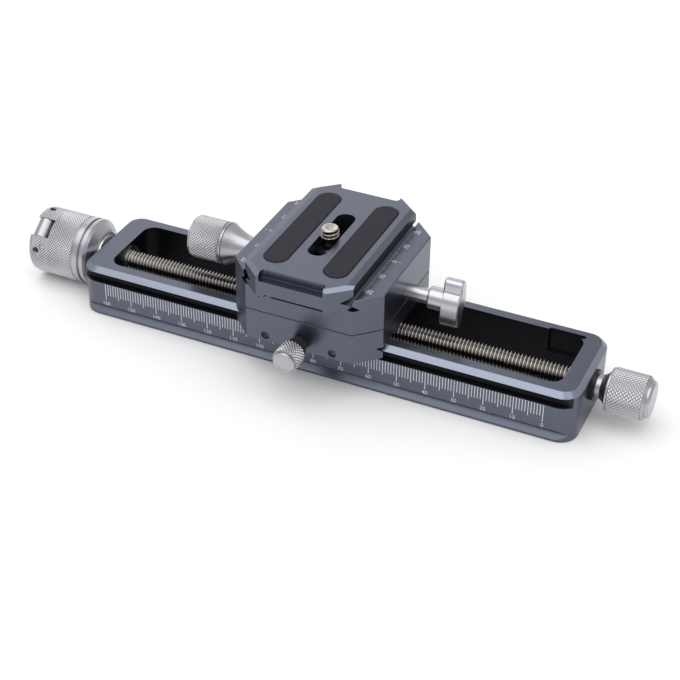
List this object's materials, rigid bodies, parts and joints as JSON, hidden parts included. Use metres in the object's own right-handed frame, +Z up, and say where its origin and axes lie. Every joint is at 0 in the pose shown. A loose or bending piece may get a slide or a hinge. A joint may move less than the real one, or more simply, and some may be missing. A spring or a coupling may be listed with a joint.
{
  "type": "macro focus rail",
  "caption": "Two-axis macro focusing rail: a screw-driven carriage on a slotted rail with a rack-driven cross slide, a clamping plate and a camera screw.",
  "frame": {"origin": "middle of the rail on its underside", "axes": "+X along the rail away from the crank knob, +Y away from the scale side, +Z up"},
  "size_m": [0.2265, 0.0718, 0.0478],
  "materials": {
    "anodised_body": "satin anodised, blue-grey",
    "satin_silver": "satin silver, turned",
    "stainless": "bright stainless",
    "black_steel": "blackened",
    "bronze": "plain bearing bronze",
    "rubber": "matt, fine cork-like grain",
    "polymer": "plain acetal",
    "dark_collar": "dark satin anodised"
  },
  "bodies": {
    "rail": {"rail_frame": "anodised_body", "left_bearing": "stainless", "right_bearing": "stainless", "thrust_washers": "stainless"},
    "carriage": {"carriage_base": "anodised_body", "carriage_gib": "bronze", "gib_set_screws": "black_steel", "lead_nut": "bronze", "lead_nut_screws": "black_steel", "cross_base": "anodised_body", "cross_base_screws": "black_steel", "pinion_bush": "bronze", "lock_pad": "polymer"},
    "screw": {"lead_screw": "stainless", "left_knob": "satin_silver", "right_knob": "satin_silver", "knob_set_screws": "black_steel", "crank_pin": "stainless", "crank_plunger": "stainless"},
    "crank": {"crank_handle": "satin_silver"},
    "carriage_lock": {"lock_stud": "stainless", "lock_collar": "dark_collar", "lock_knob": "satin_silver"},
    "pinion": {"pinion_shaft": "stainless", "cross_knob": "satin_silver", "cross_knob_screw": "black_steel"},
    "plate": {"top_plate": "anodised_body", "rack": "stainless", "rack_screws": "black_steel", "grip_pad_left": "rubber", "grip_pad_right": "rubber"},
    "slot_guide": {"screw_slider": "stainless"},
    "camera_stud": {"camera_screw": "stainless"},
    "wing_lock": {"wing_stud": "satin_silver", "wing_knob": "satin_silver"}
  },
  "joints": [
    {"name": "carriage_slide", "type": "slide", "parent": "rail", "child": "carriage", "axis": [1, 0, 0], "range_m": [-0.038, 0.06]},
    {"name": "screw_turn", "type": "hinge", "parent": "rail", "child": "screw", "pos_m": [0, 0, 0.0121], "axis": [-1, 0, 0], "range_deg": [-11000, 17400]},
    {"name": "crank_fold", "type": "hinge", "parent": "screw", "child": "crank", "pos_m": [-0.1135, -0.00473, 0.01874], "axis": [0, 0.8141, 0.5807], "range_deg": [0, 90]},
    {"name": "carriage_lock_turn", "type": "hinge", "parent": "carriage", "child": "carriage_lock", "pos_m": [-0.0008, -0.03, 0.018], "axis": [0, -1, 0], "range_deg": [0, 540]},
    {"name": "cross_slide", "type": "slide", "parent": "carriage", "child": "plate", "axis": [0, 1, 0], "range_m": [-0.02, 0.02]},
    {"name": "pinion_turn", "type": "hinge", "parent": "carriage", "child": "pinion", "pos_m": [-0.02, 0, 0.03], "axis": [-1, 0, 0], "range_deg": [-384, 384]},
    {"name": "camera_slot", "type": "slide", "parent": "plate", "child": "slot_guide", "axis": [0, 1, 0], "range_m": [-0.009, 0.012]},
    {"name": "camera_screw_turn", "type": "hinge", "parent": "slot_guide", "child": "camera_stud", "pos_m": [-0.002, -0.002, 0.042], "axis": [0, 0, 1], "continuous": true},
    {"name": "wing_lock_turn", "type": "hinge", "parent": "carriage", "child": "wing_lock", "pos_m": [0.035, 0, 0.0294], "axis": [1, 0, 0], "range_deg": [0, 360]}
  ],
  "couplings": [
    {"joint": "screw_turn", "follows": "carriage_slide", "rad_per_m": 5026.5},
    {"joint": "pinion_turn", "follows": "cross_slide", "rad_per_m": 333.33}
  ]
}
